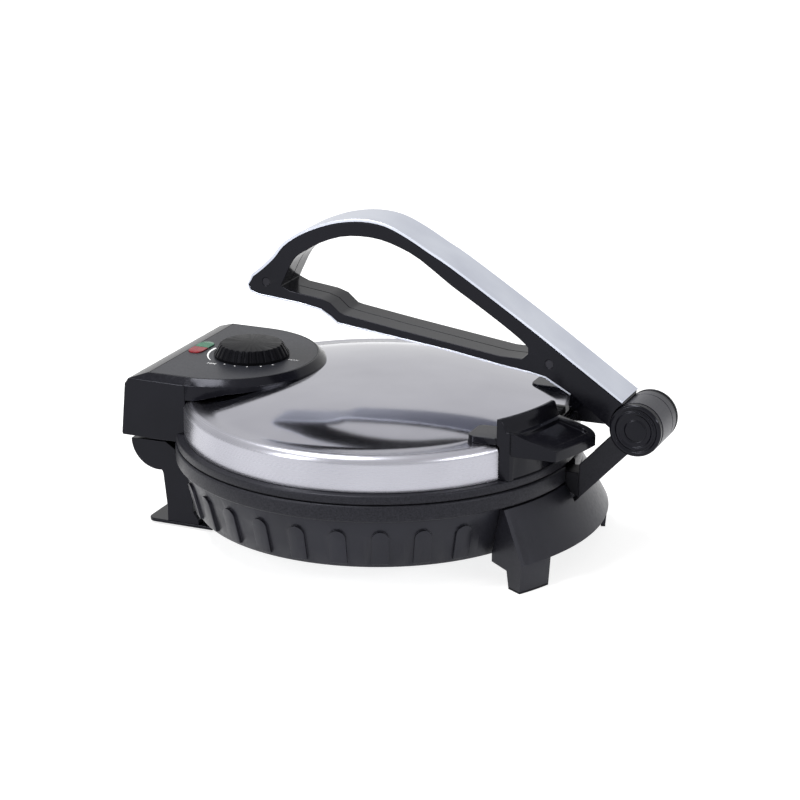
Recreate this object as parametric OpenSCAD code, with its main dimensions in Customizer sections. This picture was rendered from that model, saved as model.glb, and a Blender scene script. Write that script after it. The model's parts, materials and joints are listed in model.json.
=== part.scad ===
// Electric roti maker with a hinged lid and a looped press lever.
// Millimetres. Z is up, the press lever is at the front (-Y), the lid hinge at the rear (+Y).
// The origin lies on the table under the middle of the overall box.

/* [Base] */
// Outside radius of the rim round the lower plate
rim_r = 137.2; // [134:0.2:141]
// Height of the parting line between base and lid above the table
rim_top_z = 64; // [62.5:0.5:66]
// Height of the rim band
rim_h = 11; // [10:0.5:12.5]
// Thickness of the rim band
rim_wall = 3; // [2.4:0.2:3.6]
// How far the rim stands out beyond the ribbed wall under it
rim_overhang = 4.2; // [3.8:0.1:6]
// How far the ribbed wall leans in from the rim down to its bottom edge
shell_lean = 9; // [7:0.5:11]
// Height of the bottom edge of the ribbed wall above the table
shell_bottom_z = 17.8; // [16.5:0.1:19.5]
// Wall thickness of the base shell
shell_wall = 2.5; // [2:0.1:3.2]
// Number of ribs on each side of the shell
rib_count = 9; // [5:1:9]
// Angle from one rib to the next
rib_pitch = 12; // [10:0.5:12]
// Width of one rib
rib_w = 11; // [8:0.5:13]
// Height of one rib from foot to rounded top
rib_len = 24; // [18:0.5:28]
// How far a rib stands out of the wall
rib_relief = 1.8; // [1:0.1:2.6]

/* [Front apron and feet] */
// Half of the angle that the flared apron covers
apron_half = 31; // [29:0.5:32]
// How far the lower edge of the apron stands out beyond the rim
apron_flare = 18.3; // [14.3:0.5:20.3]
// Height of the apron edge between the feet
apron_edge_z = 19.5; // [17:0.5:24]
// Wall thickness of the apron and its feet
apron_wall = 3; // [2.4:0.1:3.6]
// Angle that one front foot covers
foot_angle = 9.5; // [7.5:0.5:12]
// Thickness of the rubber soles
sole_h = 1.5; // [1:0.1:2.5]

/* [Rear housing] */
// How far the lower rear housing lies inside the sides of the control housing
rear_inset = 7.4; // [5.4:0.2:10.4]
// How far the lid hinge lies inside the outside radius of the rim
hinge_inset = 0.2; // [-1.8:0.2:1]
// How far the lid hinge lies below the parting line
hinge_drop = 4; // [3:0.2:5]
// Radius of the round hinge barrel of the base
knuckle_r = 20.3; // [19:0.1:20.6]
// Radius of the two hinge pins
hinge_pin_r = 2.5; // [2:0.1:3]
// Radius of the bosses that carry the hinge pins
hinge_boss_r = 6.8; // [6:0.1:7.2]
// Thickness of the steel hinge ears of the lid
ear_t = 4; // [3:0.2:4.6]
// Distance of the middle of a hinge ear from the side of the rear housing
ear_inset = 10.5; // [9:0.5:13]
// Thickness of the rear foot plate
rear_plate_t = 2.5; // [2:0.1:4]
// Radius of the cord hole
gland_bore_r = 3.6; // [3:0.1:4.2]

/* [Plates and heaters] */
// How far the edge of both cooking plates lies inside the outside radius of the rim
plate_inset = 10.2; // [9.8:0.2:13]
// Thickness of a cooking plate over the heater
plate_t = 5.5; // [4.6:0.1:6]
// Thickness of the plate edge
plate_edge_t = 2.5; // [2:0.1:2.8]
// Width of the thin plate edge
plate_edge_w = 9; // [7:0.5:10]
// Gap between the two closed plates
plate_gap = 1.5; // [1:0.1:2]
// Distance of the heater ring from the plate edge
heater_inset = 47; // [39:1:57]
// Radius of the heater tube
heater_tube_r = 3.3; // [2.8:0.1:3.8]

/* [Lid] */
// How far the black lid rim lies inside the rim of the base
lid_rim_inset = 0.7; // [0.3:0.1:2.5]
// Height of the lid rim
lid_rim_h = 6; // [5.4:0.2:7]
// Gap between the rims of base and lid
rim_gap = 0.5; // [0.4:0.1:0.8]
// How far the steel cover lies inside the black lid rim
cover_inset = 5.3; // [4.3:0.1:6.3]
// Height of the steel cover
cover_h = 23.8; // [22.5:0.1:25.5]
// Thickness of the steel sheet
cover_t = 1; // [0.8:0.1:1.4]
// Radius of the rounded shoulder of the cover
cover_round = 6; // [4:0.5:8]
// Depth of the shallow dish in the top of the cover
dish_depth = 2; // [1:0.1:3]
// Distance of the dish from the outside of the steel cover
dish_inset = 12.2; // [9.2:0.5:17.2]

/* [Control housing] */
// Half width of the control housing and radius of its round nose
house_half_w = 67.4; // [66:0.2:69]
// Distance of the nose centre in front of the lid hinge
nose_ahead = 24; // [22.6:0.2:25]
// Rear end of the control housing behind the lid hinge
house_behind = 23; // [22.6:0.1:25]
// Height of the housing side above the steel cover
house_side_h = 10.6; // [9.5:0.1:12]
// Radius of the foot of the round nose on the steel cover
nose_foot_r = 50; // [46:0.5:54]
// How far the edge of the nose rises towards its tip
nose_rise = 8.4; // [6:0.2:8.8]
// Height of the slanted border round the panel
bevel_h = 4.4; // [3.4:0.1:5.4]
// Half width of the control panel and radius of its round end
panel_r = 62.5; // [61:0.5:64]
// Rear edge of the panel behind the lid hinge
panel_behind = 4.2; // [3.4:0.2:6]
// Thickness of the panel
panel_t = 1.6; // [1.2:0.1:2]
// Wall thickness of the control housing
house_wall = 3; // [2.4:0.1:3.4]
// Half height of the pair of lamp lenses
lens_r = 5.4; // [4.6:0.1:5.8]
// Length of the pair of lamp lenses
lens_len = 26; // [22:0.5:30]

/* [Knob] */
// Distance of the knob in front of the nose centre
knob_ahead = 18; // [16:0.5:21]
// Radius of the knob at its foot
knob_r = 25.8; // [23:0.1:27]
// Radius of the flat top of the knob
knob_top_r = 22; // [19.5:0.1:22.5]
// Height of the knob
knob_h = 8.8; // [7.5:0.1:10]
// Number of flutes round the knob
flute_count = 30; // [18:1:36]
// Radius of one flute
flute_r = 1.3; // [1:0.1:1.9]
// Radius of the thermostat shaft
shaft_r = 3; // [2.5:0.1:3.5]

/* [Front grip] */
// Half width of the grip along the front of the lid
grip_half_w = 68; // [66:0.5:70]
// Height of the ridge above the steel cover
ridge_h = 17; // [14:0.5:18.5]
// Thickness of the ridge
ridge_t = 3; // [2.4:0.1:3.6]
// How far the two wings reach out from the steel cover
wing_reach = 32.8; // [26.8:0.5:33.8]
// Half width of the open strip between the wings
strip_half_w = 17.4; // [17:0.1:19]
// Height of the front edge of a wing
wing_edge_h = 7.5; // [6:0.5:9]
// Depth of the tray in a wing
tray_depth = 2.4; // [1.4:0.1:3]

/* [Press lever and link] */
// Distance of the lever axis in front of the rim
hub_reach = 48.8; // [47.8:0.5:51.8]
// Height of the lever axis above the steel cover
hub_rise = 3.7; // [2.2:0.5:5.7]
// Radius of the barrel
barrel_r = 17.3; // [16.4:0.1:17.6]
// Half length of the barrel
barrel_half = 19.2; // [18.6:0.1:21]
// Radius of the barrel axle
axle_r = 4; // [3:0.1:5]
// Half width of the lever
lever_half_w = 15; // [14:0.1:15.2]
// Thickness of the bright trim on the lever
trim_t = 2; // [1.4:0.1:2.6]
// Thickness of the trim round the nose and along the underside
under_trim_t = 1.2; // [0.9:0.1:1.6]
// Thickness of the link sheet
link_t = 2.4; // [1.8:0.1:2.6]
// Width of the link arms
link_w = 16; // [13:0.5:17]
// Lean of the link arms from the horizontal
link_lean = 47; // [45:0.5:49]
// How far the link pivot lies inside the outside radius of the rim
pivot_inset = 8.2; // [7.6:0.1:8.8]
// How far the link pivot lies below the parting line
pivot_drop = 8; // [7.6:0.1:8.4]
// Radius of the link pivot pin
pivot_pin_r = 2; // [1.6:0.1:2.3]
// Half width of the tongue that enters the base
tongue_half_w = 8; // [7:0.1:8.4]

/* [Hidden] */
$fn = 72;

// Named clearances
fit = 0.05;       // running fit of a pin in its bore, per side
seat = 0.1;       // between two pieces of one body that lie together
joint_gap = 0.4;  // between bodies that move past each other
clear = 0.6;      // round a moving piece in its slot
eps = 0.01;

// Radii and distances that follow the rim of the base
shell_top_r = rim_r - rim_overhang;
shell_bottom_r = shell_top_r - shell_lean;
apron_foot_r = rim_r + apron_flare;
plate_r = rim_r - plate_inset;
heater_r = plate_r - heater_inset;
lid_rim_r = rim_r - lid_rim_inset;
cover_r = lid_rim_r - cover_inset;
dish_r = cover_r - dish_inset;
wing_r = cover_r + wing_reach;
hub_front = rim_r + hub_reach;
pivot_front = rim_r - pivot_inset;
hinge_y = rim_r - hinge_inset;
nose_y = hinge_y - nose_ahead;
house_rear_y = hinge_y + house_behind;
panel_rear_y = hinge_y + panel_behind;
knob_y = nose_y - knob_ahead;

// The overall outline runs from the front of the barrel to the rear of the housing
axis_y = ((hub_front + barrel_r) - house_rear_y) / 2;

// Heights of the stack of rims and plates
rim_bottom_z = rim_top_z - rim_h;
lid_bottom_z = rim_top_z + rim_gap;
cover_bottom_z = lid_bottom_z + lid_rim_h;
cover_top_z = cover_bottom_z + cover_h;
hinge_z = rim_top_z - hinge_drop;
pivot_z = rim_top_z - pivot_drop;
hub_z = cover_top_z + hub_rise;
plate_top_z = rim_top_z - 0.5;
edge_bottom_z = plate_top_z - plate_edge_t;
plate_bottom_z = plate_top_z - plate_t;
upper_face_z = plate_top_z + plate_gap;
ledge_w = 4;
ledge_t = 2.2;
plate_hole_r = plate_r + 0.5;
band_in_r = rim_r - rim_wall;

// Inner skin of the shell and the line of its slope
shell_slope = (shell_top_r - shell_bottom_r) / (rim_bottom_z - shell_bottom_z);
shell_top_z = edge_bottom_z - ledge_t - seat;
function shell_r(z) = shell_bottom_r + shell_slope * (min(z, rim_bottom_z) - shell_bottom_z);
cover_plate_t = 1.5;
cover_plate_r = shell_bottom_r - shell_wall - 0.5;
cover_ledge_z = shell_bottom_z + cover_plate_t + seat;
boss_r = 4.5;
boss_ring_r = shell_bottom_r - 18;
boss_h = 12;
screw_r = 1.6;
screw_head_r = 3.4;
screw_head_h = 1.6;

// Apron
apron_slope = (apron_foot_r - rim_r) / (rim_bottom_z - 1 - apron_edge_z);
apron_top_z = rim_bottom_z - 1;
function apron_r(z) = rim_r + apron_slope * (apron_top_z - max(z, apron_edge_z));

// Rear housing
rear_half_w = house_half_w - rear_inset;
ear_x = rear_half_w - ear_inset;
post_front = hinge_y - 25.5;
post_rear = hinge_y - 6;
rear_plate_front = hinge_y - 40;
rear_plate_rear = hinge_y + 10;
rear_plate_top = sole_h + rear_plate_t;
hinge_top_z = hinge_z + 0.5;
boss_in = ear_x - ear_t / 2 - joint_gap;
boss_out = ear_x + ear_t / 2 + joint_gap;
boss_end = rear_half_w - 2;
boss_start = boss_in - 6;
post_top_y = post_rear + 2.6;
gland_z = hinge_z - 30;
gland_x = 34;
gland_r = gland_bore_r + 1.5;

// Lid
lid_thick_top_z = upper_face_z + plate_t;
edge_top_z = upper_face_z + plate_edge_t;
house_front_y = hinge_y - 25.5;
nose_bottom_z = cover_top_z + 0.2;
side_top_z = cover_top_z + house_side_h;
panel_top_z = side_top_z + bevel_h;
panel_seat_z = panel_top_z - panel_t;
lens_y = panel_rear_y - lens_r - 1.6;
thermostat_r = 14;
thermostat_h = 7;
shaft_flat = shaft_r * 0.5;

// Grip
ridge_top_z = cover_top_z + ridge_h;
wing_rear_z = cover_top_z + 8.7;
wing_front_z = cover_top_z;
wing_bottom_z = wing_front_z - wing_edge_h;

// Lever and link
hub_y = -hub_front;
pivot_y = -pivot_front;
eye_half = barrel_half - 3;
eye_in = eye_half - joint_gap - link_t + 0.1;
sleeve_half = eye_in - 0.3;
cap_in = eye_half;
knee_y = pivot_y - 19;
pivot_eye_r = 4.4;
slot_half_w = tongue_half_w + 1;

module placed() {
  translate([0, axis_y, 0]) children();
}

// Turns an outline in Y and Z into a solid along X from x0 to x1
module along_x(x0, x1) {
  translate([x0, 0, 0]) rotate([90, 0, 90]) linear_extrude(x1 - x0) children();
}

module rod_x(r, x0, x1, y, z) {
  translate([x0, y, z]) rotate([0, 90, 0]) cylinder(r = r, h = x1 - x0);
}

// A solid that is the same on both sides of the centre line
module both_sides() {
  children();
  mirror([1, 0, 0]) children();
}

// Points of a smooth curve through the points p, n steps to each
function spline_at(a, b, c, d, t) =
  0.5 * ((2 * b) + (c - a) * t + (2 * a - 5 * b + 4 * c - d) * t * t + (3 * b - a - 3 * c + d) * t * t * t);
function smooth(p, n) = concat(
  [for (i = [0:len(p) - 2], k = [0:n - 1])
    spline_at(p[max(i - 1, 0)], p[i], p[i + 1], p[min(i + 2, len(p) - 1)], k / n)],
  [p[len(p) - 1]]
);
function arc(cx, cy, r, a0, a1, n) =
  [for (i = [0:n]) [cx + r * cos(a0 + (a1 - a0) * i / n), cy + r * sin(a0 + (a1 - a0) * i / n)]];

// Space taken by the ribbed shell and the rim, grown by g
module shell_space(g) {
  rotate_extrude($fn = 120) polygon([
    [0, shell_bottom_z - g], [shell_bottom_r + g, shell_bottom_z - g], [shell_top_r + g, rim_bottom_z - g],
    [rim_r + g, rim_bottom_z - g], [rim_r + g, rim_top_z + g], [0, rim_top_z + g]
  ]);
}

// Ribs lie on the sloping wall; each has a rounded head and a straight foot
module rib_band() {
  intersection() {
    rotate_extrude($fn = 120) polygon([
      [shell_r(shell_bottom_z + 3) - 1, shell_bottom_z + 2],
        [shell_r(shell_bottom_z + 2) + rib_relief, shell_bottom_z + 2],
      [shell_r(rim_bottom_z - 2) + rib_relief, rim_bottom_z - 2],
        [shell_r(rim_bottom_z - 2) - 1, rim_bottom_z - 2]
    ]);
    for (side = [0, 180], i = [0:rib_count - 1])
      rotate([0, 0, side + (i - (rib_count - 1) / 2) * rib_pitch]) rib_block();
  }
}

module rib_block() {
  head_r = rib_w / 2;
  foot_z = shell_bottom_z + 3.2;
  translate([shell_bottom_r - 6, 0, foot_z]) rotate([90, 0, 90]) linear_extrude(rim_r - shell_bottom_r + 6) {
    translate([-head_r, 0]) square([rib_w, rib_len - head_r]);
    translate([0, rib_len - head_r]) circle(head_r, $fn = 24);
  }
}

module base_shell() {
  color([0.05, 0.05, 0.05]) placed() difference() {
    union() {
      rotate_extrude($fn = 120) polygon([
        [shell_bottom_r - 1, shell_bottom_z], [shell_bottom_r, shell_bottom_z + 1],
        [shell_top_r, rim_bottom_z], [shell_top_r, shell_top_z], [shell_top_r - shell_wall, shell_top_z],
        [shell_top_r - shell_wall, rim_bottom_z],
          [shell_r(cover_ledge_z + 3) - shell_wall, cover_ledge_z + 3],
        [cover_plate_r - 4, cover_ledge_z + 3], [cover_plate_r - 4, cover_ledge_z],
        [shell_bottom_r - shell_wall, cover_ledge_z], [shell_bottom_r - shell_wall, shell_bottom_z]
      ]);
      rib_band();
      cover_bosses();
      pivot_lugs();
    }
    // slot for the link tongue
    translate([-slot_half_w, -rim_r, pivot_z - 13])
      cube([slot_half_w * 2, rim_r - pivot_front + 14, rim_h + 12]);
    // bore for the pivot pin
    rod_x(pivot_pin_r + fit, -tongue_half_w - 8, tongue_half_w + 8, pivot_y, pivot_z);
    // passage of the cord gland
    translate([gland_x, shell_bottom_r - 20, gland_z]) rotate([-90, 0, 0])
      cylinder(r = gland_r + seat, h = 30, $fn = 36);
    for (a = [45:90:315]) rotate([0, 0, a])
      translate([boss_ring_r, 0, shell_bottom_z]) cylinder(r = screw_r + fit, h = boss_h, $fn = 24);
  }
}

// Bosses for the screws of the bottom cover, each on a web to the wall
module cover_bosses() {
  for (a = [45:90:315]) rotate([0, 0, a]) {
    translate([boss_ring_r, 0, cover_ledge_z]) cylinder(r = boss_r, h = boss_h, $fn = 32);
    translate([boss_ring_r, -1.25, cover_ledge_z])
      cube([shell_bottom_r - shell_wall - boss_ring_r + 1, 2.5, boss_h]);
  }
}

// Two lugs inside the front wall hold the pin of the link
module pivot_lugs() {
  both_sides() translate([slot_half_w, 0, 0]) along_x(0, 4) difference() {
    translate([-shell_top_r + 0.5, pivot_z - 8]) square([9.5, shell_top_z - pivot_z + 8]);
  }
}

module base_rim() {
  edge_round = 1.4;
  color([0.07, 0.07, 0.07]) placed() difference() {
    rotate_extrude($fn = 120) polygon(concat(
      [[band_in_r, rim_bottom_z]],
      arc(rim_r - edge_round, rim_bottom_z + edge_round, edge_round, -90, 0, 3),
      arc(rim_r - edge_round, rim_top_z - edge_round, edge_round, 0, 90, 3),
      [[plate_hole_r, rim_top_z], [plate_hole_r, edge_bottom_z], [plate_hole_r - ledge_w, edge_bottom_z],
       [plate_hole_r - ledge_w, edge_bottom_z - ledge_t], [band_in_r, edge_bottom_z - ledge_t]]
    ));
    translate([-slot_half_w, -rim_r - 1, rim_bottom_z - 1]) cube([slot_half_w * 2, 18, rim_h + 2]);
  }
}

// Flared apron with the two angled front feet
module front_apron() {
  side_in = shell_bottom_r + 1;
  color([0.05, 0.05, 0.05]) placed() difference() {
    union() {
      turned_sector(-90 - apron_half, 2 * apron_half) polygon([
        [shell_top_r + 0.3, apron_top_z - 2.4], [shell_top_r + 0.3, apron_top_z], [rim_r, apron_top_z],
        [apron_foot_r, apron_edge_z], [apron_foot_r - apron_wall, apron_edge_z],
          [rim_r - apron_wall, apron_top_z - 2.4]
      ]);
      both_sides() {
        // front wall of the foot
        turned_sector(-90 - apron_half, foot_angle) polygon([
          [apron_foot_r - apron_wall, apron_edge_z + 4], [apron_foot_r - 2.3, apron_edge_z + 4],
          [apron_foot_r, apron_edge_z], [apron_foot_r - 1.5, sole_h],
            [apron_foot_r - 1.5 - apron_wall, sole_h],
          [apron_foot_r - apron_wall, apron_edge_z]
        ]);
        // side wall, from the shell out to the flare
        rotate([0, 0, -90 - apron_half]) rotate([90, 0, 0]) translate([0, 0, -apron_wall])
          linear_extrude(apron_wall) polygon([
          [apron_foot_r - 13, sole_h], [apron_foot_r - 1.5, sole_h], [apron_foot_r, apron_edge_z],
            [rim_r, apron_top_z],
          [shell_top_r + 0.6, apron_top_z], [shell_r(shell_bottom_z + 2) + 0.6, shell_bottom_z + 2],
          [side_in, shell_bottom_z - 4.5], [apron_foot_r - 15, shell_bottom_z - 6]
        ]);
      }
    }
    // way in for the link tongue
    translate([-slot_half_w, -apron_foot_r, pivot_z - 15.5])
      cube([slot_half_w * 2, apron_foot_r - shell_top_r + 4, 30]);
  }
}

// A revolved outline that starts at angle a and runs over angle w
module turned_sector(a, w) {
  rotate([0, 0, a]) rotate_extrude(angle = w, $fn = 120) children();
}

// Round hinge barrel, sloping top and the post that stands on the foot plate
module rear_profile() {
  polygon(concat(
    [[post_front - 8, hinge_top_z - 17.5], [hinge_y - 6.3, hinge_top_z]],
    arc(hinge_y, hinge_z, knuckle_r, 0, -97, 12),
    [[post_top_y, hinge_z - 22.2], [post_rear, rear_plate_top + 10], [post_rear, rear_plate_top],
     [post_front - 4, rear_plate_top], [post_front - 4, rear_plate_top + 3.7],
       [post_front, rear_plate_top + 9],
     [post_front, hinge_z - 20]]
  ));
}

module rear_housing() {
  color([0.05, 0.05, 0.05]) placed() difference() {
    union() {
      along_x(-rear_half_w, rear_half_w) rear_profile();
      both_sides() {
        rod_x(hinge_boss_r, boss_start, boss_in, hinge_y, hinge_z);
        rod_x(hinge_boss_r, boss_out, boss_end, hinge_y, hinge_z);
      }
    }
    shell_space(0.3);
    both_sides() {
      // pocket in which a hinge ear turns
      rod_x(hinge_boss_r + clear, boss_in, boss_out, hinge_y, hinge_z);
      // pin bore, open to the outside for the pin
      rod_x(hinge_pin_r + seat, boss_start - 1, boss_end - 1.5, hinge_y, hinge_z);
    }
    // hollow of the post, closed by the foot plate
    translate([-rear_half_w + 3.5, post_front + 3.5, rear_plate_top - 1])
      cube([2 * rear_half_w - 7, post_rear - post_front - 7, shell_bottom_z - rear_plate_top - 2.5]);
    // seat of the cord gland
    translate([gland_x, post_front, gland_z]) rotate([-90, 0, 0])
      cylinder(r = gland_r + seat, h = 30, $fn = 36);
  }
}

module rear_foot() {
  corner = 6;
  color([0.05, 0.05, 0.05]) placed() translate([0, 0, sole_h]) linear_extrude(rear_plate_t - seat) union() {
    translate([-rear_half_w, rear_plate_front])
      square([rear_half_w * 2, rear_plate_rear - rear_plate_front - corner]);
    translate([-rear_half_w + corner, rear_plate_front])
      square([(rear_half_w - corner) * 2, rear_plate_rear - rear_plate_front]);
    for (s = [-1, 1]) translate([s * (rear_half_w - corner), rear_plate_rear - corner])
      circle(corner, $fn = 32);
  }
}

module foot_soles() {
  color([0.12, 0.12, 0.12]) placed() {
    both_sides() {
      intersection() {
        turned_sector(-90 - apron_half, foot_angle)
          translate([apron_foot_r - 1.5 - apron_wall, 0]) square([apron_wall, sole_h - seat]);
        translate([-rim_r, -apron_foot_r, 0]) cube([rim_r * 2, rim_r, sole_h]);
      }
      rotate([0, 0, -90 - apron_half]) translate([apron_foot_r - 13, 0, 0])
        cube([8.6, apron_wall, sole_h - seat]);
      translate([rear_half_w - 12, rear_plate_front + 9, 0]) cylinder(r = 6, h = sole_h - seat, $fn = 32);
      translate([rear_half_w - 12, rear_plate_rear - 11, 0]) cylinder(r = 6, h = sole_h - seat, $fn = 32);
    }
  }
}

// Steel floor with a ring of air slots
module bottom_cover() {
  slot_r = 72;
  color([0.35, 0.35, 0.36]) placed() translate([0, 0, shell_bottom_z]) difference() {
    cylinder(r = cover_plate_r, h = cover_plate_t, $fn = 120);
    translate([0, 0, -1]) linear_extrude(cover_plate_t + 2) {
      for (a = [0:20:340]) rotate(a) {
        translate([slot_r - 10, -2]) square([20, 4]);
        translate([slot_r - 10, 0]) circle(2, $fn = 16);
        translate([slot_r + 10, 0]) circle(2, $fn = 16);
      }
      for (a = [45:90:315]) rotate(a) translate([boss_ring_r, 0]) circle(screw_r + 0.3, $fn = 24);
    }
  }
}

module cover_screws() {
  color([0.6, 0.6, 0.6]) placed() for (a = [45:90:315]) rotate([0, 0, a]) translate([boss_ring_r, 0, 0]) {
    translate([0, 0, shell_bottom_z - seat - screw_head_h])
      cylinder(r = screw_head_r, h = screw_head_h, $fn = 24);
    translate([0, 0, shell_bottom_z - seat - 0.5]) cylinder(r = screw_r, h = boss_h - 1, $fn = 24);
  }
}

// Cooking plate seen from its flat face at z = 0, with the thin edge that the rim holds
module plate_body() {
  rotate_extrude($fn = 120) polygon([
    [0, 0], [plate_r - 0.8, 0], [plate_r, 0.8], [plate_r, plate_edge_t],
      [plate_r - plate_edge_w, plate_edge_t],
    [plate_r - plate_edge_w - 6, plate_t], [0, plate_t]
  ]);
}

module lower_plate() {
  color([0.1, 0.1, 0.1]) placed() translate([0, 0, plate_top_z]) mirror([0, 0, 1]) difference() {
    plate_body();
    for (a = [30:120:270]) rotate([0, 0, a])
      translate([heater_r - 24, 0, plate_t - 3]) cylinder(r = screw_r + fit, h = 4, $fn = 24);
  }
}

module upper_plate() {
  color([0.1, 0.1, 0.1]) placed() translate([0, 0, upper_face_z]) plate_body();
}

// Bent heater tube: an open ring with two upright ends
module heater_body() {
  gap_angle = 24;
  rotate([0, 0, 90 + gap_angle / 2]) rotate_extrude(angle = 360 - gap_angle, $fn = 96)
    translate([heater_r, heater_tube_r + seat]) circle(heater_tube_r, $fn = 20);
  for (s = [-1, 1]) rotate([0, 0, 90 + s * gap_angle / 2]) translate([heater_r, 0, seat + heater_tube_r]) {
    sphere(heater_tube_r, $fn = 20);
    cylinder(r = heater_tube_r, h = 9, $fn = 20);
    cylinder(r = 1.2, h = 15, $fn = 12);
  }
}

module lower_heater() {
  color([0.3, 0.28, 0.26]) placed() translate([0, 0, plate_bottom_z]) mirror([0, 0, 1]) heater_body();
}

module upper_heater() {
  color([0.3, 0.28, 0.26]) placed() translate([0, 0, lid_thick_top_z]) heater_body();
}

shield_z = plate_bottom_z - 14;
// Thin dish that throws the heat back to the plate
module heat_shield() {
  shield_r = plate_r - plate_edge_w - 8;
  color([0.6, 0.6, 0.6]) placed() difference() {
    rotate_extrude($fn = 96) polygon([
      [0, shield_z], [shield_r - 8, shield_z], [shield_r, shield_z + 9], [shield_r - 1, shield_z + 9],
      [shield_r - 8.4, shield_z + 0.8], [0, shield_z + 0.8]
    ]);
    for (s = [-1, 1]) rotate([0, 0, 90 + s * 12]) translate([heater_r, 0, shield_z - 1])
      cylinder(r = heater_tube_r + 1.2, h = 3, $fn = 32);
    for (a = [30:120:270]) rotate([0, 0, a]) translate([heater_r - 24, 0, shield_z - 1])
      cylinder(r = screw_r + seat, h = 3, $fn = 24);
  }
}

module shield_studs() {
  color([0.6, 0.6, 0.6]) placed() for (a = [30:120:270]) rotate([0, 0, a]) translate([heater_r - 24, 0, 0]) {
    translate([0, 0, shield_z - 3]) cylinder(r = screw_r, h = plate_bottom_z - shield_z + 5.5, $fn = 24);
    translate([0, 0, shield_z + 0.8 + seat])
      cylinder(r = 3, h = plate_bottom_z - shield_z - 0.8 - 2 * seat, $fn = 24);
    translate([0, 0, shield_z - seat - 2]) cylinder(r = 3.4, h = 2, $fn = 24);
  }
}

module terminal_block() {
  pitch = 14;
  block_w = 16;
  block_h = 13;
  color([0.85, 0.83, 0.78]) placed() translate([0, post_front - 19.5, cover_ledge_z]) difference() {
    translate([-pitch - block_w / 2, -block_w / 2, 0]) cube([2 * pitch + block_w, block_w, block_h]);
    for (x = [-pitch, 0, pitch]) {
      translate([x, -block_w / 2 - 1, block_h / 2 - 0.5]) rotate([-90, 0, 0])
        cylinder(r = 2.4, h = block_w + 2, $fn = 24);
      translate([x, 0, block_h / 2 - 0.5]) cylinder(r = 2, h = block_h, $fn = 24);
    }
  }
}

module cord_gland() {
  inner_y = post_front + 6;
  color([0.1, 0.1, 0.1]) placed() translate([gland_x, 0, gland_z]) rotate([-90, 0, 0]) difference() {
    union() {
      translate([0, 0, inner_y]) cylinder(r = gland_r, h = post_top_y - inner_y + 1, $fn = 36);
      translate([0, 0, post_top_y + seat]) cylinder(r = gland_r + 1.7, h = 2, $fn = 36);
    }
    translate([0, 0, inner_y - 1]) cylinder(r = gland_bore_r, h = 40, $fn = 36);
  }
}

module hinge_pins() {
  color([0.6, 0.6, 0.6]) placed() both_sides()
    rod_x(hinge_pin_r, boss_start - 0.5, boss_end - 1.6, hinge_y, hinge_z);
}

module pivot_pin() {
  color([0.6, 0.6, 0.6]) placed() rod_x(pivot_pin_r, -slot_half_w - 3.5, slot_half_w + 3.5, pivot_y, pivot_z);
}

module lid_rim() {
  edge_round = 1.2;
  color([0.07, 0.07, 0.07]) placed() difference() {
    rotate_extrude($fn = 120) polygon(concat(
      [[plate_hole_r, lid_bottom_z]],
      arc(lid_rim_r - edge_round, lid_bottom_z + edge_round, edge_round, -90, 0, 3),
      arc(lid_rim_r - edge_round, cover_bottom_z - edge_round, edge_round, 0, 90, 3),
      [[plate_hole_r - ledge_w, cover_bottom_z], [plate_hole_r - ledge_w, edge_top_z + seat],
        [plate_hole_r, edge_top_z + seat]]
    ));
    translate([-house_half_w - seat, house_front_y - seat, lid_bottom_z - 1])
      cube([2 * (house_half_w + seat), cover_r, lid_rim_h + 2]);
  }
}

// Line of the drawn steel cover from the skirt over the rounded shoulder into a shallow dish
function cover_line(inset) = concat(
  [[cover_r - inset, cover_bottom_z + seat]],
  arc(cover_r - cover_round, cover_top_z - cover_round, cover_round - inset, 0, 90, 8),
  [for (i = [0:8]) [dish_r - 26 * i / 8, cover_top_z - inset - dish_depth * (1 - cos(180 * i / 8)) / 2]],
  [[0, cover_top_z - inset - dish_depth]]
);

module lid_cover() {
  inner = cover_line(cover_t);
  color([0.75, 0.75, 0.76]) placed() difference() {
    rotate_extrude($fn = 160) polygon(concat(cover_line(0), [for (i = [len(inner) - 1:-1:0]) inner[i]]));
    translate([-house_half_w - seat, house_front_y - seat, cover_bottom_z - 1])
      cube([2 * (house_half_w + seat), cover_r, cover_h + 4]);
  }
}

// D-shaped outline, round at the front
module d_shape(r, rear) {
  intersection() {
    union() {
      translate([0, nose_y]) circle(r, $fn = 96);
      translate([-r, nose_y]) square([2 * r, rear - nose_y + 1]);
    }
    translate([-r - 1, nose_y - r - 1]) square([2 * r + 2, rear - nose_y + r + 1]);
  }
}

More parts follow.
